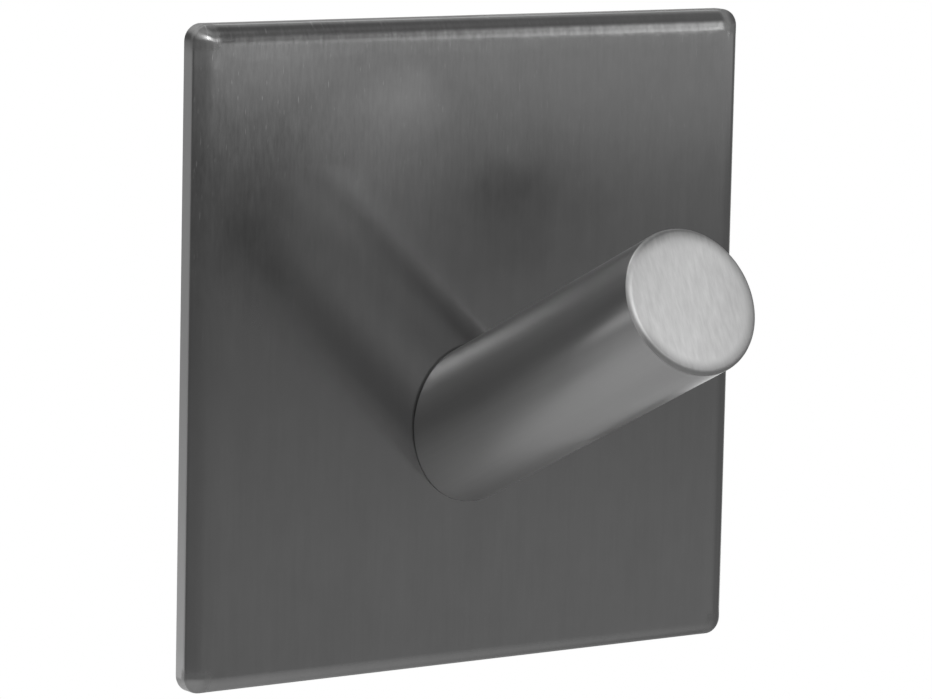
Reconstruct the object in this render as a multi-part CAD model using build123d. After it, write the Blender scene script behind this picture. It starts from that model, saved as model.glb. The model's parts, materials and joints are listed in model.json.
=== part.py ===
from build123d import *
import os
from math import cos, radians, sin, tan

# Self-adhesive wall hook: a square steel plate with a rolled front rim, a round peg that leans
# upwards, the countersunk screw that holds the peg from behind, and the foam pad on the back.
# Lengths are in millimetres. The origin is the middle of the pad's wall face, +Y runs into the
# wall, +Z is up, and the peg stands out towards -Y.

# Foam pad
pad_inset = 2.5            # plate edge to pad edge, all round
pad_thickness = 1.0
pad_corner_radius = 2.0

# Wall plate
plate_side = 45.0
plate_thickness = 2.0
plate_corner_radius = 1.2
roll_width = 1.3           # how far the rolled rim reaches in over the front face
roll_depth = 0.85          # how far the rim drops below the front face at the plate's edge

# Peg
peg_diameter = 10.0
peg_length = 27.2          # along the axis, from the plate's front face to the end face
peg_tilt = 25.0            # degrees that the axis rises from the plate's normal
peg_drop = 5.5             # middle of the peg's foot below the plate's middle
peg_end_round = 0.35       # radius of the rim round the sawn end

# Countersunk socket screw, M3 x 6
thread_diameter = 3.0
screw_length = 6.0         # over all, as countersunk screws are measured
screw_point_chamfer = 0.4
head_diameter = 5.5
head_rim = 0.2             # straight edge of the head above its cone
head_cone_angle = 90.0     # degrees, across the cone
head_sink = 0.1            # top of the head below the plate's back face
socket_across_flats = 2.0
socket_depth = 1.0

# Clearances
seat_clearance = 0.02      # round the screw's head in its countersink
thread_clearance = 0.02    # round the thread in the peg's tapped hole
shank_clearance = 0.2      # round the thread in the plate's hole
point_clearance = 0.6      # screw point to the end of the tapped hole
drill_point_angle = 118.0  # degrees, across the cone at the end of the tapped hole

# Places worked out from the sizes
plate_back = -pad_thickness
plate_front = plate_back - plate_thickness
head_top = plate_back - head_sink
foot_middle = (0, plate_front, -peg_drop)
peg_axis = (0, -cos(radians(peg_tilt)), sin(radians(peg_tilt)))
roll_radius = (roll_width ** 2 + roll_depth ** 2) / (2 * roll_depth)  # arc tangent to the front face

# The screw stands on this line: its own Z runs from the head's top out towards the peg
screw_line = Plane(origin=(0, head_top, -peg_drop), x_dir=(1, 0, 0), z_dir=(0, -1, 0))
wall_view = Plane(origin=(0, 0, 0), x_dir=(1, 0, 0), z_dir=(0, -1, 0))


def cone_height(wide, narrow, angle):
    """Height of a cone frustum between two radii, with the given angle across its sides."""
    return (wide - narrow) / tan(radians(angle / 2))


def rounded_slab(side, corner_radius, back, thickness):
    """A square slab with rounded corners, from its back plane out towards -Y."""
    outline = wall_view.offset(-back) * RectangleRounded(side, side, corner_radius)
    return extrude(outline, thickness)


def rolled_block():
    """A block a little larger than the plate, with the roll's arc all round its front rim."""
    side = plate_side + 2 * (roll_radius - roll_width)
    depth = plate_thickness + roll_radius
    block = extrude(wall_view.offset(-plate_front - depth) * Rectangle(side, side), depth)
    front_rim = block.faces().sort_by(Axis.Y)[0].edges()
    upright_edges = block.edges().filter_by(Axis.Y)
    return fillet(front_rim + upright_edges, roll_radius)


def screw_hole():
    """What the drill and the countersink take out of the plate, on the screw's line."""
    head = head_diameter / 2 + seat_clearance
    hole = thread_diameter / 2 + shank_clearance
    cone_end = head_rim + cone_height(head, hole, head_cone_angle)
    through = plate_thickness - head_sink
    section = Polyline(
        (0, -head_sink), (head, -head_sink), (head, head_rim), (hole, cone_end),
        (hole, through), (0, through), close=True,
    )
    return screw_line * revolve(Plane.XZ * make_face(section), Axis.Z)


def make_wall_plate():
    """The plate, cut out of the rolled block so that the arc ends in a crease on its edge."""
    outline = rounded_slab(plate_side, plate_corner_radius, plate_back, plate_thickness + roll_radius)
    return (rolled_block() & outline) - screw_hole()


def tapped_hole():
    """The tapped hole in the peg's foot, with the drill's point at its end."""
    radius = thread_diameter / 2 + thread_clearance
    mouth = plate_thickness - head_sink
    end = screw_length + point_clearance
    point = end + cone_height(radius, 0, drill_point_angle)
    section = Polyline((0, mouth), (radius, mouth), (radius, end), (0, point), close=True)
    return screw_line * revolve(Plane.XZ * make_face(section), Axis.Z)


def make_peg():
    """A round bar along the leaning axis, its foot cut flush with the plate's front face."""
    radius = peg_diameter / 2
    below_foot = peg_diameter * tan(radians(peg_tilt))
    line = Plane(origin=foot_middle, x_dir=(1, 0, 0), z_dir=peg_axis)
    bar = line * Pos(Z=-below_foot) * extrude(Circle(radius), below_foot + peg_length)
    end_rim = bar.edges().sort_by(Axis((0, 0, 0), peg_axis))[-1]
    bar = fillet(end_rim, peg_end_round)
    bar = split(bar, bisect_by=wall_view.offset(-plate_front), keep=Keep.TOP)
    return bar - tapped_hole()


def make_fixing_screw():
    """The screw turned about its line, with a hexagon socket sunk in its head."""
    head = head_diameter / 2
    thread = thread_diameter / 2
    cone_end = head_rim + cone_height(head, thread, head_cone_angle)
    point = thread - screw_point_chamfer
    section = Polyline(
        (0, 0), (head, 0), (head, head_rim), (thread, cone_end),
        (thread, screw_length - screw_point_chamfer), (point, screw_length), (0, screw_length),
        close=True,
    )
    screw = revolve(Plane.XZ * make_face(section), Axis.Z)
    socket = RegularPolygon(socket_across_flats / 2, 6, major_radius=False)
    return screw_line * (screw - extrude(socket, socket_depth))


def make_adhesive_pad():
    """The foam pad, set in from the plate's edge so that it doesn't show from the front."""
    side = plate_side - 2 * pad_inset
    return rounded_slab(side, pad_corner_radius, 0, pad_thickness)


pieces = {
    "wall_plate": make_wall_plate(),
    "peg": make_peg(),
    "fixing_screw": make_fixing_screw(),
    "adhesive_pad": make_adhesive_pad(),
}

os.makedirs("parts", exist_ok=True)
for name, piece in pieces.items():
    export_step(piece, f"parts/{name}.step")
    size = piece.bounding_box().size
    print(f"{name}: {piece.volume:.1f} mm3, {size.X:.2f} x {size.Y:.2f} x {size.Z:.2f} mm")
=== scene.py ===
# %% [markdown]
# # Dressing a self-adhesive wall hook
# The hook is a square steel plate with a rolled rim, a round peg that leans upwards, a screw that holds
# the peg from behind and a foam pad that sticks to the wall. The frame that is loaded here has every
# piece at its real size and place, in metres, with the wall behind the pad in the direction of +Y. This
# lesson models smoother pieces in the same places, gives each one its finish, and lights them.

# %% Load the frame
import json
from math import asin, atan2, cos, degrees, pi, radians, sin, sqrt

import bmesh
import bpy
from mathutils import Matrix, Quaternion, Vector


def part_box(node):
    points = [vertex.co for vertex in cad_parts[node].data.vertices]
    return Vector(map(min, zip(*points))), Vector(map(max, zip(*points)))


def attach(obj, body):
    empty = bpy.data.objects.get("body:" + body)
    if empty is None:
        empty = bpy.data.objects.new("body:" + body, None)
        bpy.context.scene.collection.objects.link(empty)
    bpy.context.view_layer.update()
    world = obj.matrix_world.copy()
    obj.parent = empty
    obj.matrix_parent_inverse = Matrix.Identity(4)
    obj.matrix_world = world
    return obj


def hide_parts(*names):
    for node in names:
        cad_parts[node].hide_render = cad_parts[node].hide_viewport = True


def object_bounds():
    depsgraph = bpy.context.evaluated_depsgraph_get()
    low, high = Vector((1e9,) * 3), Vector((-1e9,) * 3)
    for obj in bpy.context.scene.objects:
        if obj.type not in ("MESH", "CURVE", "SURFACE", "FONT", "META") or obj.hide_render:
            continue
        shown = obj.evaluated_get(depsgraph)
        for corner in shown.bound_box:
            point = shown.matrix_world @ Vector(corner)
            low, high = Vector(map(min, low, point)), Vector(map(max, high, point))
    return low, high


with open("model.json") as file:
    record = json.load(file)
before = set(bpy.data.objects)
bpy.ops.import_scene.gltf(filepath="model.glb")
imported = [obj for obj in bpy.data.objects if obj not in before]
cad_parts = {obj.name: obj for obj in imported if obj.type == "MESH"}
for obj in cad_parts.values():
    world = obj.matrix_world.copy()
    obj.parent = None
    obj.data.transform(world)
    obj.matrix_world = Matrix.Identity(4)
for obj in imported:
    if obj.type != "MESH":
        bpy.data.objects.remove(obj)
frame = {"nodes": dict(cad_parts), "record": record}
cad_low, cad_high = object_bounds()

MM = 0.001


def in_mm(lengths):
    """Lengths in millimetres, rounded for printing."""
    return [round(length / MM, 2) for length in lengths]


print("frame:", sorted(frame["nodes"]), "size:", in_mm(cad_high - cad_low), "mm")

# %% [markdown]
# ## The camera
# A long lens looks at the hook from its left and a little above, so that the plate's left edge and the
# peg's round end both show. The viewpoint was worked out from where the plate's four edges and the
# peg's end lie in the photograph. Blender's camera looks along its own -Z, so a track quaternion turns
# it to its target, and a small turn about its own Z gives the slight roll of the picture.

# %% Set the camera
CAMERA_PLACE = Vector((-191.09, -279.03, 47.32)) * MM
CAMERA_TARGET = Vector((0.663, -1.0, -0.676)) * MM
CAMERA_ROLL = radians(1.23)
LENS = 190.4

bpy.ops.object.select_all(action="DESELECT")
bpy.ops.object.camera_add(location=CAMERA_PLACE)
camera = bpy.context.object
camera.name = "camera"
camera.data.lens = LENS
camera.data.sensor_width = 36.0
camera.data.clip_start = 0.01
camera.rotation_mode = "QUATERNION"
line_of_sight = CAMERA_TARGET - CAMERA_PLACE
camera.rotation_quaternion = line_of_sight.to_track_quat("-Z", "Y") @ Quaternion((0, 0, 1), CAMERA_ROLL)
bpy.context.scene.camera = camera
print("camera:", round(line_of_sight.length, 4), "m from the plate")

# %% [markdown]
# ## Working in edit mode
# Modelling by hand is a round of three moves: pick some faces or edges, run an operator on them, and
# look. In a script the picking is done by a test on each face's place or normal. These helpers start a
# piece on a clean selection, pick what a test asks for, round it off, and leave a finished piece at the
# origin with its place in its mesh.

# %% Modelling helpers
DOUBLES = 0.001 * MM


def begin(add, name, **shape):
    """Adds a primitive at its size and place, applies its place to its mesh and opens it for editing."""
    bpy.ops.object.select_all(action="DESELECT")
    add(**shape)
    piece = bpy.context.object
    piece.name = name
    piece.data.name = name
    bpy.ops.object.transform_apply(location=True, rotation=True, scale=True)
    bpy.ops.object.mode_set(mode="EDIT")
    return piece


def pick(kind, test):
    """Selects the faces or edges of the open piece for which the test holds, and says how many."""
    bpy.ops.mesh.select_mode(type=kind)
    bpy.ops.mesh.select_all(action="DESELECT")
    mesh = bmesh.from_edit_mesh(bpy.context.edit_object.data)
    items = mesh.faces if kind == "FACE" else mesh.edges
    found = [item for item in items if test(item)]
    for item in found:
        item.select_set(True)
    mesh.select_flush_mode()
    bmesh.update_edit_mesh(bpy.context.edit_object.data)
    return len(found)


def round_off(size, segments):
    """Rounds the selected edges by a bevel of the given size."""
    bpy.ops.mesh.bevel(offset=size, segments=segments, profile=0.5, affect="EDGES")


def end():
    """Merges doubles, turns the faces outwards and leaves edit mode."""
    bpy.ops.mesh.select_all(action="SELECT")
    bpy.ops.mesh.remove_doubles(threshold=DOUBLES)
    bpy.ops.mesh.normals_make_consistent(inside=False)
    bpy.ops.object.mode_set(mode="OBJECT")


def smooth(piece, angle):
    """Shades the stretches that turn by less than the angle from face to face as one round surface."""
    bpy.ops.object.select_all(action="DESELECT")
    bpy.context.view_layer.objects.active = piece
    piece.select_set(True)
    bpy.ops.object.shade_smooth_by_angle(angle=radians(angle))
    print(piece.name, len(piece.data.polygons), "faces,", in_mm(piece.dimensions), "mm")


def cut_out(piece, cutter):
    """Takes the cutter's shape out of the piece with a Boolean modifier, and removes the cutter."""
    bpy.ops.object.select_all(action="DESELECT")
    bpy.context.view_layer.objects.active = piece
    piece.select_set(True)
    cut = piece.modifiers.new("cut", "BOOLEAN")
    cut.object = cutter
    cut.operation = "DIFFERENCE"
    cut.solver = "EXACT"
    bpy.ops.object.modifier_apply(modifier=cut.name)
    bpy.data.objects.remove(cutter)


def sharpen_border(piece, inside):
    """Marks the edges between the faces that the test holds for and their neighbours as sharp."""
    bpy.context.view_layer.objects.active = piece
    bpy.ops.object.mode_set(mode="EDIT")
    marked = pick("EDGE", lambda edge: sorted(inside(face) for face in edge.link_faces) == [False, True])
    bpy.ops.mesh.mark_sharp()
    bpy.ops.object.mode_set(mode="OBJECT")
    print(piece.name, "sharp edges:", marked)


# %% [markdown]
# The tests themselves are short. Most of them ask whether an edge lies in a plane, or whether it runs
# through a slab from back to front. Two directions count as the same when their dot product is over
# FACING, and as square to each other when it is under SQUARE.

# %% Tests on edges and faces
SAME_PLACE = 0.002 * MM
FACING = 0.999
SQUARE = 0.01


def edge_ends(edge):
    """The two ends of an edge."""
    return [vertex.co for vertex in edge.verts]


def on_plane(edge, place, normal):
    """An edge that lies in the plane through a place, square to a normal."""
    return all(abs((point - place).dot(normal)) < SAME_PLACE for point in edge_ends(edge))


def on_level(edge, level):
    """An edge that lies flat at a depth along Y."""
    return all(abs(point.y - level) < SAME_PLACE for point in edge_ends(edge))


def runs_through(edge, thickness):
    """An edge that runs along Y through the whole thickness of a slab."""
    one, other = edge_ends(edge)
    return abs(one.y - other.y) > thickness - SAME_PLACE


def is_front_face(face):
    """A flat face that looks along -Y."""
    return face.normal.y < -FACING


# %% [markdown]
# ## The wall plate
# The real plate is pressed from sheet: its front rim is rolled over in an arc that ends in a crisp crease
# on the plate's narrow edge, and a very shallow lead-in joins the arc to the flat front, so that no line
# shows where the roll begins. The section of the rim is worked out from its width and its depth.

# %% The plate's sizes and the section of its rim
plate_low, plate_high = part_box("wall_plate")
PLATE_SIDE = plate_high.x - plate_low.x
PLATE_BACK = plate_high.y
PLATE_FRONT = plate_low.y
PLATE_CORNER = 1.2 * MM
ROLL_WIDTH = 1.3 * MM
ROLL_DEPTH = 0.85 * MM
LEAD_WIDTH = 2.6 * MM
LEAD_DROP = 0.15 * MM
ROLL_RINGS = 14
LEAD_RINGS = 6
FLAT_RING = 0.2 * MM
CORNER_MERGE = 0.2 * MM
CREASE_BREAK = 0.18 * MM
BACK_BREAK = 0.12 * MM

arc_depth = ROLL_DEPTH - LEAD_DROP
roll_radius = (ROLL_WIDTH ** 2 + arc_depth ** 2) / (2 * arc_depth)
slab_depth = PLATE_BACK - PLATE_FRONT - ROLL_DEPTH


def roll_drop(inset):
    """How far the rolled rim lies below the front face, at a distance in from the plate's edge."""
    reach = max(ROLL_WIDTH - inset, 0)
    arc = roll_radius - sqrt(roll_radius ** 2 - reach ** 2)
    lead = LEAD_DROP * max(1 - inset / LEAD_WIDTH, 0) ** 3
    return arc + lead


print("roll radius:", round(roll_radius / MM, 3), "mm, slab:", round(slab_depth / MM, 2), "mm deep")

# %% [markdown]
# A bevel would take the same width from both faces, so the rim is built as rings instead. A slab reaches
# up to the crease, its corners are bevelled round, and the front face is then inset and raised again and
# again along the rim's section. Where the rings reach the middle of the corner's own radius, each corner
# has shrunk to a point and is merged. One more flat ring keeps the shading of the front face flat.

# %% Model the slab and raise its rim
plate = begin(
    bpy.ops.mesh.primitive_cube_add, "brushed_wall_plate", size=1,
    location=(0, PLATE_BACK - slab_depth / 2, 0), scale=(PLATE_SIDE, slab_depth, PLATE_SIDE),
)
pick("EDGE", lambda edge: runs_through(edge, slab_depth))
round_off(PLATE_CORNER, segments=12)

crease_turn = asin(ROLL_WIDTH / roll_radius)
corner_turn = asin((ROLL_WIDTH - PLATE_CORNER) / roll_radius)
turns = [crease_turn + (corner_turn - crease_turn) * ring / ROLL_RINGS for ring in range(ROLL_RINGS + 1)]
insets = [ROLL_WIDTH - roll_radius * sin(turn) for turn in turns]


def raise_ring(outer, inner):
    """Insets the front face from one distance to the next, and raises it along the roll's arc."""
    rise = roll_drop(outer) - roll_drop(inner)
    bpy.ops.mesh.inset(thickness=inner - outer, depth=rise, use_even_offset=True)


def is_front_middle(face):
    """The large flat face in the middle of the front."""
    return is_front_face(face) and face.calc_area() > PLATE_SIDE ** 2 / 2


pick("FACE", is_front_face)
for outer, inner in zip(insets, insets[1:]):
    raise_ring(outer, inner)
bpy.ops.mesh.remove_doubles(threshold=CORNER_MERGE)
pick("FACE", is_front_middle)
lead_step = (LEAD_WIDTH - PLATE_CORNER) / LEAD_RINGS
for ring in range(LEAD_RINGS):
    raise_ring(PLATE_CORNER + ring * lead_step, PLATE_CORNER + (ring + 1) * lead_step)
raise_ring(LEAD_WIDTH, LEAD_WIDTH + FLAT_RING)
print("rings:", len(insets) + LEAD_RINGS)

# %% [markdown]
# Smooth shading bends the light between the corners of a face. The rings' long faces would carry the
# bend of the plate's corners all along its sides, so four cuts near the corners keep it there.

# %% Cut the rings near the corners
corner_reach = PLATE_SIDE / 2 - LEAD_WIDTH - 2 * FLAT_RING
for cut_axis in (Vector((1, 0, 0)), Vector((0, 0, 1))):
    for reach in (-corner_reach, corner_reach):
        bpy.ops.mesh.select_all(action="SELECT")
        bpy.ops.mesh.bisect(plane_co=cut_axis * reach, plane_no=cut_axis)
print("cuts:", round(corner_reach / MM, 2), "mm from the middle")

# %% [markdown]
# A sheared and rolled edge is never a perfect knife edge. The crease and the plate's back rim get a
# break of a tenth or two of a millimetre, just enough to catch a line of light.

# %% Break the plate's sharp edges
crease_edges = pick("EDGE", lambda edge: on_level(edge, PLATE_FRONT + ROLL_DEPTH))
round_off(CREASE_BREAK, segments=4)
back_edges = pick("EDGE", lambda edge: on_level(edge, PLATE_BACK))
round_off(BACK_BREAK, segments=2)
end()
print("broken edges:", crease_edges, "on the crease,", back_edges, "on the back")

# %% [markdown]
# ## The screw's hole
# A countersunk screw holds the peg from behind. Its hole is turned as one cutter: a circle on the
# screw's line is extruded towards the front and resized at each step, which gives the straight mouth,
# the cone and the clearance hole, and a Boolean modifier takes that shape out of the plate.

# %% Cut the screw's hole
HEAD_RADIUS = 2.77 * MM
HEAD_SINK = 0.1 * MM
HEAD_RIM = 0.2 * MM
SHANK_HOLE_RADIUS = 1.7 * MM
CUT_PROUD = 0.5 * MM

screw_low, screw_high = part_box("fixing_screw")
SCREW_HEIGHT = (screw_low.z + screw_high.z) / 2
TOWARDS_FRONT = (radians(90), 0, 0)


def turned_cutter(name, start, steps, segments=64):
    """A turned shape on the screw's line: (radius, length) steps from a start depth towards the front."""
    radius = steps[0][0]
    cutter = begin(
        bpy.ops.mesh.primitive_circle_add, name, vertices=segments, radius=radius, fill_type="NGON",
        location=(0, start, SCREW_HEIGHT), rotation=TOWARDS_FRONT,
    )
    bpy.ops.mesh.select_all(action="SELECT")
    for next_radius, length in steps:
        bpy.ops.mesh.extrude_region_move(TRANSFORM_OT_translate={"value": (0, -length, 0)})
        share = next_radius / radius
        bpy.ops.transform.resize(value=(share, share, share))
        radius = next_radius
    end()
    return cutter


cone_length = HEAD_RADIUS - SHANK_HOLE_RADIUS
screw_hole = turned_cutter("screw_hole", PLATE_BACK + CUT_PROUD, [
    (HEAD_RADIUS, CUT_PROUD + HEAD_SINK + HEAD_RIM),
    (SHANK_HOLE_RADIUS, cone_length),
    (SHANK_HOLE_RADIUS, PLATE_BACK - PLATE_FRONT - HEAD_SINK - HEAD_RIM - cone_length + CUT_PROUD),
])
cut_out(plate, screw_hole)


def is_narrow_edge(face):
    """A face on the plate's narrow outer edge, between the crease and the back rim."""
    middle = face.calc_center_median()
    return abs(face.normal.y) < SQUARE and max(abs(middle.x), abs(middle.z)) > corner_reach


sharpen_border(plate, is_narrow_edge)
smooth(plate, 20)
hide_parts("wall_plate")
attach(plate, "root")

# %% [markdown]
# ## The peg
# The peg is a length of round bar. One end is sawn and ground square with its rim rounded over, and the
# foot is cut on a slant so that the bar stands on the plate leaning upwards by 25 degrees. A cylinder
# primitive is added along the leaning axis, too long at the foot, and bisected on the plate's front.

# %% Model the peg
peg_mount = next(mount for mount in frame["record"]["mounts"] if mount["name"] == "hanging_peg")
PEG_AXIS = Vector(peg_mount["axis"])
PEG_RADIUS = peg_mount["dims"]["r_mm"] * MM
PEG_LENGTH = 27.2 * MM
PEG_SEGMENTS = 160
END_ROUND = 0.35 * MM
FOOT_BREAK = 0.22 * MM

mount_place = Vector(peg_mount["pos_m"])
peg_foot = mount_place + PEG_AXIS * ((PLATE_FRONT - mount_place.y) / PEG_AXIS.y)
peg_end = peg_foot + PEG_AXIS * PEG_LENGTH
below_foot = 2 * PEG_RADIUS
peg_turn = PEG_AXIS.to_track_quat("Z", "X").to_euler()

peg = begin(
    bpy.ops.mesh.primitive_cylinder_add, "leaning_peg", vertices=PEG_SEGMENTS, radius=PEG_RADIUS,
    depth=PEG_LENGTH + below_foot, location=(peg_foot - PEG_AXIS * below_foot + peg_end) / 2,
    rotation=peg_turn,
)
pick("EDGE", lambda edge: on_plane(edge, peg_end, PEG_AXIS))
round_off(END_ROUND, segments=6)
bpy.ops.mesh.select_all(action="SELECT")
bpy.ops.mesh.bisect(plane_co=peg_foot, plane_no=(0, 1, 0), use_fill=True, clear_outer=True)
pick("EDGE", lambda edge: on_level(edge, PLATE_FRONT))
round_off(FOOT_BREAK, segments=4)
end()
print("peg foot:", in_mm(peg_foot), "end:", in_mm(peg_end), "mm")

# %% [markdown]
# The foot has a tapped hole for the screw, blind, with the drill's point at its end. It is cut in the
# same way as the hole in the plate.

# %% Cut the tapped hole
TAPPED_RADIUS = 1.52 * MM
TAPPED_END = -7.7 * MM
DRILL_POINT = 0.91 * MM
POINT_RADIUS = 0.01 * MM

tapped_hole = turned_cutter("tapped_hole", PLATE_FRONT + CUT_PROUD, [
    (TAPPED_RADIUS, CUT_PROUD + PLATE_FRONT - TAPPED_END),
    (POINT_RADIUS, DRILL_POINT),
])
cut_out(peg, tapped_hole)
sharpen_border(peg, lambda face: abs(face.normal.dot(PEG_AXIS)) < SQUARE)
smooth(peg, 20)
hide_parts("peg")
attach(peg, "root")

# %% [markdown]
# ## The foam pad
# The pad is a slab of closed-cell foam with adhesive on both faces, a little smaller than the plate so
# that it doesn't show from the front. Foam that is pressed between two faces bulges along its edge: a
# bisected loop half-way through is pushed outwards, and the rims are bevelled soft.

# %% Model the pad
pad_low, pad_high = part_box("adhesive_pad")
PAD_CORNER = 2.0 * MM
PAD_BULGE = 0.12 * MM
PAD_RIM = 0.1 * MM

pad_middle = (pad_low + pad_high) / 2
pad_size = pad_high - pad_low
pad = begin(
    bpy.ops.mesh.primitive_cube_add, "foam_pad", size=1, location=pad_middle, scale=pad_size,
)
pick("EDGE", lambda edge: runs_through(edge, pad_size.y))
round_off(PAD_CORNER, segments=12)
bpy.ops.mesh.select_all(action="SELECT")
bpy.ops.mesh.bisect(plane_co=pad_middle, plane_no=(0, 1, 0))
pick("EDGE", lambda edge: on_level(edge, pad_middle.y))
bulged = (pad_size.x + 2 * PAD_BULGE) / pad_size.x
bpy.ops.transform.resize(value=(bulged, 1, bulged))
round_off(pad_size.y / 4, segments=4)
pick("EDGE", lambda edge: on_level(edge, pad_low.y) or on_level(edge, pad_high.y))
round_off(PAD_RIM, segments=2)
end()
smooth(pad, 40)
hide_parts("adhesive_pad")
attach(pad, "root")

# %% [markdown]
# ## Writing shaders as sums
# A finish is a small network of nodes. To keep it readable, one class wraps a socket, so that sums on
# it are written as Python and add their Math nodes, and its node method adds any other node.

# %% The shader helper
class Shade:
    """A socket of a node tree. Sums on it add Math nodes, and node() adds any other node."""

    def __init__(self, tree, socket=None):
        self.tree = tree
        self.socket = socket

    def node(self, kind, settings=None, inputs=None, output=0):
        """Adds a node: first its settings, then the values or links of its inputs."""
        new = self.tree.nodes.new(kind)
        for name, value in (settings or {}).items():
            setattr(new, name, value)
        for name, value in (inputs or {}).items():
            if isinstance(value, Shade):
                self.tree.links.new(value.socket, new.inputs[name])
            else:
                new.inputs[name].default_value = value
        return Shade(self.tree, new.outputs[output] if new.outputs else None)

    def math(self, operation, one, other=0.0):
        """One Math node."""
        return self.node("ShaderNodeMath", {"operation": operation}, {0: one, 1: other})

    def __add__(self, other):
        return self.math("ADD", self, other)

    def __sub__(self, other):
        return self.math("SUBTRACT", self, other)

    def __rsub__(self, other):
        return self.math("SUBTRACT", other, self)

    def __mul__(self, other):
        return self.math("MULTIPLY", self, other)

    __radd__ = __add__
    __rmul__ = __mul__

    def step(self, low, high):
        """0 below low, 1 above high, and a smooth rise between them."""
        ramp = {"Value": self, "From Min": low, "From Max": high}
        return self.node("ShaderNodeMapRange", {"interpolation_type": "SMOOTHSTEP"}, ramp)

    def band(self, start, full, fade, stop):
        """1 from full to fade, with smooth flanks that reach 0 at start and at stop."""
        return self.step(start, full) * (1 - self.step(fade, stop))

    def parts(self):
        """The X, Y and Z of a vector."""
        return [self.node("ShaderNodeSeparateXYZ", None, {"Vector": self}, output=axis) for axis in "XYZ"]

    def length(self):
        """The length of a vector."""
        return self.node("ShaderNodeVectorMath", {"operation": "LENGTH"}, {0: self}, output="Value")

    def stretched(self, scale, turn=(0.0, 0.0, 0.0), shift=(0.0, 0.0, 0.0)):
        """A place that is scaled, turned and moved by a Mapping node."""
        values = {"Vector": self, "Location": shift, "Rotation": turn, "Scale": scale}
        return self.node("ShaderNodeMapping", {"vector_type": "POINT"}, values)

    def noise(self, scale, detail=2.0, rough=0.5, turn=(0.0, 0.0, 0.0)):
        """A cloudy pattern about 0, from -0.5 to 0.5. A small scale along an axis stretches it that way."""
        place = self.stretched(scale, turn)
        values = {"Vector": place, "Scale": 1.0, "Detail": detail, "Roughness": rough}
        return self.node("ShaderNodeTexNoise", None, values) - 0.5

    def grey(self):
        """A neutral colour of this level."""
        return self.node("ShaderNodeCombineColor", None, {"Red": self, "Green": self, "Blue": self})


# %% [markdown]
# A finish starts as an empty material with the piece's own place in millimetres, and ends with a surface
# that the piece wears. In between, surfaces can be mixed, and a pattern can bend their normals.

# %% Finish helpers
def new_tree(owner):
    """The empty node tree of a material or a world, wrapped."""
    owner.use_nodes = True
    owner.node_tree.nodes.clear()
    return Shade(owner.node_tree)


def new_finish(name):
    """An empty material, with its wrapped tree and the object's own place in millimetres."""
    material = bpy.data.materials.new(name)
    shade = new_tree(material)
    place = shade.node("ShaderNodeTexCoord", output="Object").stretched((1 / MM, 1 / MM, 1 / MM))
    return material, shade, place


def surface_of(shade, **sockets):
    """One Principled shader with the given values and links."""
    values = {name.replace("_", " "): value for name, value in sockets.items()}
    return shade.node("ShaderNodeBsdfPrincipled", None, values)


def mixed(shade, share, one, other):
    """Two surfaces mixed by a share: 0 shows the first and 1 the other."""
    return shade.node("ShaderNodeMixShader", None, {0: share, 1: one, 2: other})


def bumped(shade, strength, distance, height):
    """A normal that follows the slopes of a pattern. The distance is in millimetres."""
    values = {"Strength": strength, "Distance": distance * MM, "Height": height}
    return shade.node("ShaderNodeBump", None, values)


def wear(piece, material, shade, surface):
    """Ends a finish with its surface, and puts it on the whole piece."""
    shade.node("ShaderNodeOutputMaterial", None, {"Surface": surface})
    piece.data.materials.clear()
    piece.data.materials.append(material)
    print(piece.name, "wears", material.name, "of", len(material.node_tree.nodes), "nodes")


# %% [markdown]
# ## Brushed steel for the plate
# The plate is brushed from top to bottom: thousands of fine upright scratches that smear reflections
# sideways. Anisotropy on the shader gives that smear, and noise that is stretched along Z gives the
# lines themselves. The short lines and the bright ticks show most at the upper left, where the plate is
# worn, so a mask holds them there.

# %% The plate's brush lines
WORN_HEIGHTS = (-4.0, 18.0)
WORN_ACROSS = (-22.0, 10.0)
WORN_MOST = 1.3
LONG_SHARE = 0.2
BROAD_SHARE = 0.25
LINE_CONTRAST = 0.35
CLOUD_CONTRAST = 0.08
MOTTLE_LEAST = 0.06
MOTTLE_WORN = 0.12
TICK_LEVELS = (0.18, 0.28)
TICK_CONTRAST = 0.5

plate_steel, shade, place = new_finish("plate_brushed_steel")
across, depth, upright = place.parts()
worn = upright.step(*WORN_HEIGHTS) * (WORN_MOST - across.step(*WORN_ACROSS))
long_lines = place.noise((9.0, 0.8, 0.22), detail=3.0)
short_lines = place.noise((5.0, 0.8, 0.9), detail=3.0, rough=0.6)
broad_lines = place.noise((1.4, 0.5, 0.15))
brushing = long_lines * LONG_SHARE + short_lines * worn + broad_lines * BROAD_SHARE
ticks = place.noise((8.0, 1.0, 1.0), detail=1.0).step(*TICK_LEVELS) * worn
clouds = place.noise((0.25, 0.25, 0.25))
mottle = place.noise((0.9, 0.9, 0.6), detail=3.0) * (MOTTLE_LEAST + worn * MOTTLE_WORN)
line_tone = brushing * LINE_CONTRAST + clouds * CLOUD_CONTRAST + mottle + ticks * TICK_CONTRAST
print("brush lines:", len(plate_steel.node_tree.nodes), "nodes")

# %% [markdown]
# Soft patches of painted light and shade lie between the lines: painted light above the peg and towards
# the upper left, a painted shadow of the peg to the right of it and painted shade by the left edge. Each
# patch is round with a soft rim, and the clouds that also tint the plate keep that rim uneven.

# %% The plate's painted light and shade
PLATE_GREY = 0.34
PAINTED_RIM_UNEVEN = 0.6


def painted_patch(x, z, wide, high, strength):
    """A soft patch of painted light or shade on the plate's front, strongest in its middle. Sizes are in
    millimetres.
    """
    offset = place.stretched((1 / wide, 0.0, 1 / high), shift=(-x / wide, 0.0, -z / high))
    return (1 - (offset.length() + clouds * PAINTED_RIM_UNEVEN).step(0.0, 1.0)) * strength


# Painted light: lighter patches above the peg and towards the upper left.
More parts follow.
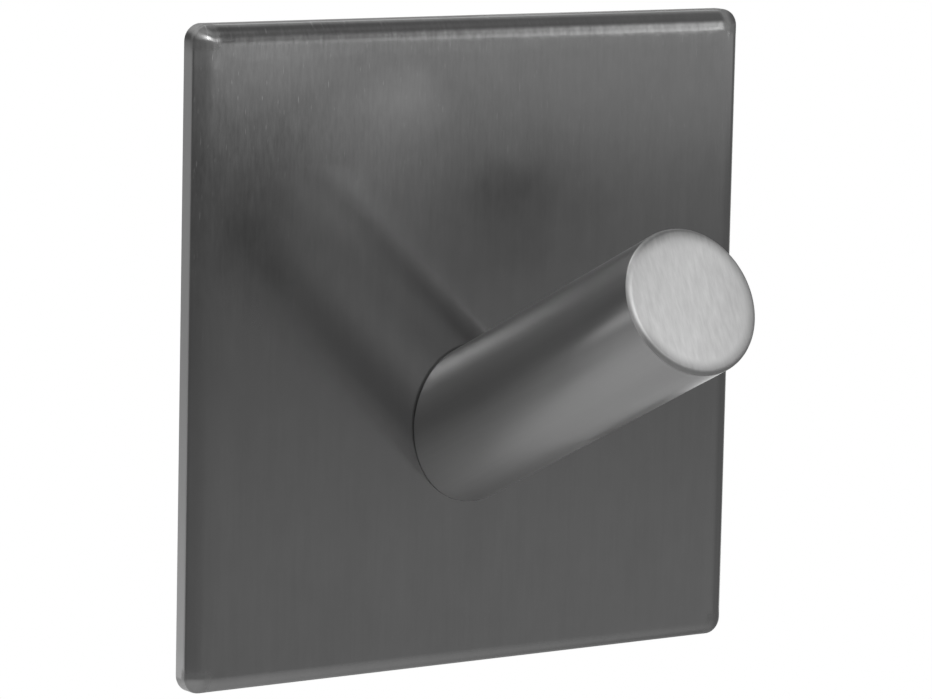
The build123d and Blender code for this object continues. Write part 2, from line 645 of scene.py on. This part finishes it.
painted_light_patches = (
    painted_patch(x=-8.5, z=13.5, wide=8.5, high=8.0, strength=0.30)
    + painted_patch(x=-5.8, z=16.6, wide=4.4, high=3.4, strength=0.24)
    + painted_patch(x=-17.0, z=19.5, wide=7.0, high=4.0, strength=0.16)
)
# Painted shade: the peg's shadow to the right of it, and a darker patch by the left edge.
painted_shade_patches = (
    painted_patch(x=3.5, z=9.0, wide=9.0, high=7.0, strength=0.18)
    + painted_patch(x=2.6, z=10.6, wide=4.2, high=3.2, strength=0.18)
    + painted_patch(x=-18.5, z=10.5, wide=6.0, high=7.5, strength=0.20)
)
face_tone = (1 + line_tone + painted_light_patches - painted_shade_patches) * PLATE_GREY
print("with marks:", len(plate_steel.node_tree.nodes), "nodes")

# %% [markdown]
# The narrow edge was sheared and left unbrushed, so it is lighter and rougher than the front. Painted
# shade darkens its last two millimetres at the top. A mask by the depth behind the crease tells it from the
# front. The brush skips the corners of the roll, so they stay a little duller. Rolling leaves the rim a
# little uneven along the top and the bottom, so a soft relief of dents bends the light there.

# %% Put the plate's finish together
EDGE_GREY = 0.62
EDGE_BLEND = (-0.02, 0.06)
EDGE_TOP = (20.4, 21.8)
EDGE_TOP_SHADE = 0.26
EDGE_DULL = 0.2
CORNER_ZONE = (20.6, 21.1)
CORNER_BLEND = (0.2, 0.4)
CORNER_DULL = 0.2
ROLL_ZONE = (19.4, 21.0)
DENT_RELIEF = 1.8
LINE_RELIEF = 0.1
BRUSHED_ROUGHNESS = 0.13
LINE_ROUGHNESS = 0.04
BRUSH_SMEAR = 0.86

behind_crease = depth - (PLATE_FRONT + ROLL_DEPTH) / MM
on_edge = behind_crease.step(*EDGE_BLEND)
# Painted shade darkens the top two millimetres of the narrow edge.
edge_tone_with_shade = EDGE_GREY - upright.step(*EDGE_TOP) * EDGE_TOP_SHADE
plate_tone = face_tone + on_edge * (edge_tone_with_shade - face_tone)
side_reach = shade.math("ABSOLUTE", across)
top_reach = shade.math("ABSOLUTE", upright)
in_corner = side_reach.step(*CORNER_ZONE) * top_reach.step(*CORNER_ZONE)
in_corner = in_corner * (1 - behind_crease.step(*CORNER_BLEND))
on_roll = top_reach.step(*ROLL_ZONE) * (1 - on_edge)
dents = place.noise((0.8, 0.8, 0.8), detail=2.0)
relief = short_lines * LINE_RELIEF + dents * on_roll * DENT_RELIEF
roughness = BRUSHED_ROUGHNESS + brushing * LINE_ROUGHNESS
roughness = roughness + on_edge * EDGE_DULL + in_corner * CORNER_DULL
wear(plate, plate_steel, shade, surface_of(
    shade, Base_Color=plate_tone.grey(), Metallic=1.0, Roughness=roughness, Anisotropic=BRUSH_SMEAR,
    Normal=bumped(shade, strength=0.3, distance=0.02, height=relief),
))

# %% [markdown]
# ## Satin steel for the peg
# The bar was drawn and polished along its length, so its streaks run along the leaning axis. A Mapping
# node turns the place so that its Z follows the axis, and the noise is stretched along it. The loops that
# hang there rub the outer half smoother than the foot, so a satin and a smooth surface are mixed by
# the place along the axis.

# %% The peg's side
PEG_GREY = 0.43
STREAK_CONTRAST = 0.08
BAR_SMEAR = 0.4
QUARTER_TURN = 0.25
SATIN_ROUGHNESS = 0.40
RUBBED_ROUGHNESS = 0.20
RUBBED_LENGTH = 15.0
RUBBED_SHARE = 0.7

tilt = atan2(PEG_AXIS.z, -PEG_AXIS.y)
off_axis = (peg_foot.y * sin(tilt) + peg_foot.z * cos(tilt)) / MM
lean = (radians(-90) + tilt, 0.0, 0.0)
end_height = peg_end.dot(PEG_AXIS) / MM

peg_steel, shade, place = new_finish("peg_satin_steel")
along = place.stretched((1.0, 1.0, 1.0), turn=lean, shift=(0.0, -off_axis, 0.0))
end_across, end_up, height_along = along.parts()
streaks = along.noise((3.0, 3.0, 0.06), detail=3.0)
side_colour = ((1 + streaks * STREAK_CONTRAST) * PEG_GREY).grey()


def bar_surface(roughness):
    """The bar's steel at one roughness, with its smear along the bar."""
    return surface_of(
        shade, Base_Color=side_colour, Metallic=1.0, Roughness=roughness, Anisotropic=BAR_SMEAR,
        Anisotropic_Rotation=QUARTER_TURN,
    )


rubbed = height_along.step(end_height - RUBBED_LENGTH, end_height) * RUBBED_SHARE
side = mixed(shade, rubbed, bar_surface(SATIN_ROUGHNESS), bar_surface(RUBBED_ROUGHNESS))
print("peg's end at", round(end_height, 2), "mm along its axis, tilt", round(degrees(tilt), 2), "degrees")

# %% [markdown]
# The end was sawn and ground: coarse strokes and finer scratches run nearly straight across it. Painted
# shade darkens the end softly towards its rim and its top. Only at the left does the rim stay bright.

# %% The tone and painted shade of the peg's end
END_GREY = 0.76
STROKE_TURN = (0.0, 0.0, radians(-15))
STROKE_SHARE = 0.7
SCRATCH_TURN = (0.0, 0.0, radians(-12))
SCRATCH_SHARE = 0.3
GRIND_CONTRAST = 0.4
RIM_WIDTH = 1.0
RIM_UNEVEN = 0.5
END_RIM_SHADE = 0.5
LIT_RIM_TURN = radians(168.5)
LIT_RIM_REACH = (0.2, 1.6)
LIT_RIM_RISE = 0.45
TOP_HEIGHT = 1.7
TOP_UNEVEN = 0.8
END_TOP_SHADE = 0.30

peg_radius = PEG_RADIUS / MM
strokes = along.noise((3.0, 0.8, 0.5), detail=3.0, rough=0.55, turn=STROKE_TURN)
scratches = along.noise((8.0, 1.2, 0.5), turn=SCRATCH_TURN)
grind = strokes * STROKE_SHARE + scratches * SCRATCH_SHARE
from_axis = along.stretched((1.0, 1.0, 0.0)).length()
towards_lit = end_across * cos(LIT_RIM_TURN) + end_up * sin(LIT_RIM_TURN)
lit_rim = 1 - (from_axis - towards_lit).step(*LIT_RIM_REACH)
# Painted shade towards the rim, with less of it on the lit rim at the left.
rim_shade = (from_axis + strokes * RIM_UNEVEN).step(peg_radius - RIM_WIDTH, peg_radius)
rim_shade = rim_shade * (END_RIM_SHADE - lit_rim * LIT_RIM_RISE)
# Painted shade towards the top of the end.
top_shade = (end_up + strokes * TOP_UNEVEN).step(peg_radius - TOP_HEIGHT, peg_radius) * END_TOP_SHADE
end_tone_with_shade = (1 + grind * GRIND_CONTRAST) * (1 - rim_shade) * (1 - top_shade) * END_GREY
print("peg's end:", len(peg_steel.node_tree.nodes), "nodes")

# %% [markdown]
# The end is a surface of its own, lighter and rougher than the side. A mask by the place along the axis
# tells the end from the side, and mixes the two.

# %% Put the peg's finish together
END_ROUGHNESS = 0.6
END_SMEAR = 0.5
END_BLEND = 0.06

end_face = surface_of(
    shade, Base_Color=end_tone_with_shade.grey(), Metallic=1.0, Roughness=END_ROUGHNESS, Anisotropic=END_SMEAR,
    Normal=bumped(shade, strength=0.3, distance=0.03, height=grind),
)
rim_start = end_height - END_ROUND / MM
on_end = height_along.step(rim_start, rim_start + END_BLEND)
wear(peg, peg_steel, shade, mixed(shade, on_end, side, end_face))

# %% [markdown]
# ## The screw and the foam
# The screw is hidden between the pad and the peg, so the frame's own solid stays, with a plain turned
# finish.

# %% The screw's finish
SCREW_GREY = 0.45
SCREW_ROUGHNESS = 0.32
TURNING_CONTRAST = 0.3
TURNING_ROUGHNESS = 0.15

screw_steel, shade, place = new_finish("screw_plain_steel")
turning = place.noise((1.0, 6.0, 1.0))
screw_tone = (1 + turning * TURNING_CONTRAST) * SCREW_GREY
wear(frame["nodes"]["fixing_screw"], screw_steel, shade, surface_of(
    shade, Base_Color=screw_tone.grey(), Metallic=1.0,
    Roughness=SCREW_ROUGHNESS + turning * TURNING_ROUGHNESS,
))

# %% [markdown]
# The foam is dark, with closed cells about a seventh of a millimetre across. Soft patches vary its tone
# and its sheen a little, because the adhesive doesn't cover it evenly.

# %% The pad's finish
FOAM_GREY = 0.045
FOAM_LEAST = 0.7
CELLS_PER_MM = 7.0
CELL_CONTRAST = 0.4
PATCH_CONTRAST = 0.3
FOAM_ROUGHNESS = 0.75
PATCH_ROUGHNESS = 0.3

pad_foam, shade, place = new_finish("pad_dark_foam")
cell_values = {"Vector": place, "Scale": CELLS_PER_MM}
cells = shade.node("ShaderNodeTexVoronoi", None, cell_values, output="Distance")
patches = place.noise((0.5, 0.5, 0.5), detail=3.0)
foam_tone = (FOAM_LEAST + cells * CELL_CONTRAST + patches * PATCH_CONTRAST) * FOAM_GREY
wear(pad, pad_foam, shade, surface_of(
    shade, Base_Color=foam_tone.grey(), Roughness=FOAM_ROUGHNESS + patches * PATCH_ROUGHNESS,
    Normal=bumped(shade, strength=0.35, distance=0.05, height=cells),
))

# %% [markdown]
# ## Floor, lamp and surroundings
# The hook hangs high above a pale floor. The floor fades out towards its rim, so that it meets the white
# backdrop without a line.

# %% Lay the floor
FLOOR_DROP = 60 * MM
FLOOR_RADIUS = 0.24
FLOOR_COLOUR = (0.9, 0.9, 0.9, 1.0)
FADE_MIDDLE = Vector((-60, -10, 0)) * MM
FADE_START = 25 * MM
FADE_END = 167 * MM

floor_height = cad_low.z - FLOOR_DROP
bpy.ops.object.select_all(action="DESELECT")
bpy.ops.mesh.primitive_circle_add(
    vertices=96, radius=FLOOR_RADIUS, fill_type="NGON", location=(0, 0, floor_height),
)
floor = bpy.context.object
floor.name = "floor"

floor_paint = bpy.data.materials.new("floor_paint")
shade = new_tree(floor_paint)
place = shade.node("ShaderNodeTexCoord", output="Object")
from_middle = place.stretched((1.0, 1.0, 1.0), shift=-FADE_MIDDLE).length()
paint = shade.node("ShaderNodeBsdfDiffuse", None, {"Color": FLOOR_COLOUR})
clear = shade.node("ShaderNodeBsdfTransparent")
wear(floor, floor_paint, shade, mixed(shade, from_middle.step(FADE_START, FADE_END), paint, clear))
print("floor:", round(floor_height / MM, 1), "mm")

# %% [markdown]
# One soft box hangs in front of the hook, a little to the left and above. It lights the peg's end and
# lays a streak of light along the upper side of the peg.

# %% Hang the lamp
KEY_AZIMUTH = radians(-9)
KEY_ELEVATION = radians(31)
KEY_DISTANCE = 0.7
KEY_SIDE = 0.24
KEY_RADIANCE = 7.2

towards_key = Vector((
    sin(KEY_AZIMUTH) * cos(KEY_ELEVATION), -cos(KEY_AZIMUTH) * cos(KEY_ELEVATION), sin(KEY_ELEVATION),
))
bpy.ops.object.select_all(action="DESELECT")
bpy.ops.object.light_add(type="AREA", location=towards_key * KEY_DISTANCE)
key = bpy.context.object
key.name = "key_soft_box"
key.data.shape = "SQUARE"
key.data.size = KEY_SIDE
key.data.energy = KEY_RADIANCE * pi * KEY_SIDE ** 2
key.rotation_mode = "QUATERNION"
key.rotation_quaternion = towards_key.to_track_quat("Z", "Y")
print("key:", round(key.data.energy, 2), "W")

# %% [markdown]
# Polished metal shows what stands round it, so most of the look comes from the room. The camera sees
# plain white. In the metal, white shows behind the hook and above the wall, and the rest of the room is
# made of greys. The world's direction is split into its parts, and each mask below is a smooth step on
# one or two of them.

# %% Split the room by direction
world = bpy.data.worlds.new("studio")
bpy.context.scene.world = world
shade = new_tree(world)
direction = shade.node("ShaderNodeTexCoord", output="Generated")
sideways, into_wall, upwards = direction.parts()


def nearness(towards):
    """How near a direction is to the given one: 1 along it, 0 square to it."""
    inputs = {0: direction, 1: towards.normalized()}
    return shade.node("ShaderNodeVectorMath", {"operation": "DOT_PRODUCT"}, inputs, output="Value")


def growing(share, mask):
    """A share that grows to 1 as the mask does."""
    return share + mask * (1 - share)


in_front = 1 - into_wall.step(-0.2, 0.2)
behind = into_wall.step(0.2, 0.7)
below = 1 - upwards.step(-0.05, 0.15)
low_down = 1 - upwards.step(-0.19, -0.12)
low_band = upwards.band(-0.36, -0.26, -0.20, -0.17)
low_right = sideways.step(0.1, 0.4) * (1 - upwards.step(-0.32, -0.18))
low_front = (1 - upwards.step(-0.38, -0.21)) * (1 - sideways.step(0.1, 0.4)) * in_front
print("masks:", len(world.node_tree.nodes), "nodes")

# %% [markdown]
# The walls of the room are a middle grey, a little darker far to the left. The plate mirrors a part of
# the room that lies to the right in front, which is a little lighter. Lighter greys low down stand for
# the floor of the studio, in front of the hook and behind it.

# %% The room's greys
FAR_LEFT_GREY = 0.15
ROOM_GREY = 0.17
RIGHT_GREY = 0.07
RIGHT_END_DROP = 0.6
LOW_GREY = 0.095
LOW_LEFT_SHARE = 0.7
LOW_FRONT_GREY = 0.20
BEHIND_GREY = 0.18
LOW_BEHIND_GREY = 0.40
LOW_RIGHT_BEHIND_GREY = 0.30

right_end = 1 - sideways.step(0.64, 0.80) * RIGHT_END_DROP
right = sideways.step(0.50, 0.60) * right_end * in_front
low_middle = low_down * growing(LOW_LEFT_SHARE, sideways.step(-0.3, 0.1)) * right_end * in_front
room = FAR_LEFT_GREY + sideways.step(-0.9, -0.2) * (ROOM_GREY - FAR_LEFT_GREY)
room = room + right * RIGHT_GREY + low_middle * LOW_GREY + low_front * LOW_FRONT_GREY
room = room + behind * below * BEHIND_GREY
room = room + behind * low_band * LOW_BEHIND_GREY
room = room + behind * low_right * LOW_RIGHT_BEHIND_GREY
print("with greys:", len(world.node_tree.nodes), "nodes")

# %% [markdown]
# A pale band in front, just under the height of the hook, is what makes the plate lighter towards its
# top. Three soft panels and a bright upright strip to the right give the glows along the rolled rim and
# in the peg.

# %% The horizon, the panels and the strip
HORIZON_GREY = 0.54
HORIZON_DIP = 0.05
HORIZON_SLANT = 0.006
HORIZON_LEFT_SHARE = 0.4
FRONT_GREY = 0.22
FRONT_PANEL = Vector((-0.2, -0.9, 0.38))
LEFT_GREY = 0.28
LEFT_PANEL = Vector((-0.54, -0.45, 0.71))
UPPER_GREY = 0.60
UPPER_PANEL = Vector((0.20, -0.46, 0.865))
STRIP_GREY = 1.65

horizon = (upwards + right * HORIZON_SLANT).step(-0.101, -0.082) * (1 - upwards.step(-0.075, 0.22))
horizon = horizon * growing(HORIZON_LEFT_SHARE, sideways.step(-0.3, 0.4)) * in_front
room = room + horizon * (HORIZON_GREY - right * HORIZON_DIP - room)
room = room + nearness(FRONT_PANEL).step(0.86, 0.98) * FRONT_GREY
room = room + nearness(LEFT_PANEL).step(0.75, 0.95) * LEFT_GREY
room = room + nearness(UPPER_PANEL).step(0.94, 0.985) * UPPER_GREY
strip = sideways.band(0.585, 0.605, 0.66, 0.70) * upwards.band(-0.04, 0.02, 0.30, 0.62) * in_front
room = room + strip * STRIP_GREY
print("with panels:", len(world.node_tree.nodes), "nodes")

# %% [markdown]
# White lies over the greys in three places: wherever the camera itself looks, behind the hook along the
# line of sight, and above the wall, where the top of the rolled rim mirrors it.

# %% Close the surroundings
above_wall = into_wall.step(-0.12, 0.50) * upwards.step(0.40, 0.62)
backdrop = nearness(line_of_sight).step(0.93, 0.985)
seen = shade.node("ShaderNodeLightPath", output="Is Camera Ray")
white = shade.math("MAXIMUM", seen, shade.math("MAXIMUM", backdrop, above_wall))
level = room + white * (1 - room)
surroundings = shade.node("ShaderNodeBackground", None, {"Color": level.grey(), "Strength": 1.0})
shade.node("ShaderNodeOutputWorld", None, {"Surface": surroundings})
bpy.context.scene.view_settings.view_transform = "Standard"
print("surroundings:", len(world.node_tree.nodes), "nodes")
